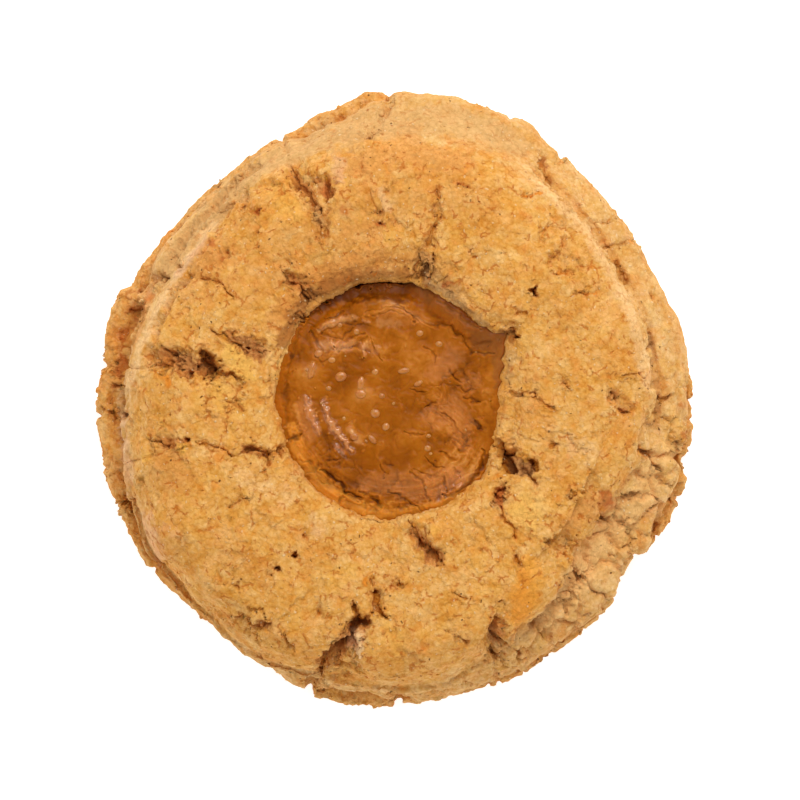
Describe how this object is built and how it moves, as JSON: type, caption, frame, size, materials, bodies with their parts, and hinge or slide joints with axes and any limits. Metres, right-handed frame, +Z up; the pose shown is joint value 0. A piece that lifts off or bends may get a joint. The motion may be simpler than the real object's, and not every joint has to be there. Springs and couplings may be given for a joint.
{
  "type": "speculoos cookie",
  "caption": "Thick round baked cookie with a browned crust, cracked top and a pool of set speculoos spread in its middle.",
  "frame": {"origin": "middle of the bounding box at the face that the cookie rests on", "axes": "+Z up through the well; +Y and +X in the plane of the plate"},
  "size_m": [0.0898, 0.0926, 0.023],
  "materials": {
    "baked_dough": "matt baked crust, coarse and cracked",
    "set_spread": "satin to glossy set spread"
  },
  "bodies": {
    "root": {"dough": "baked_dough", "filling": "set_spread"}
  },
  "joints": []
}
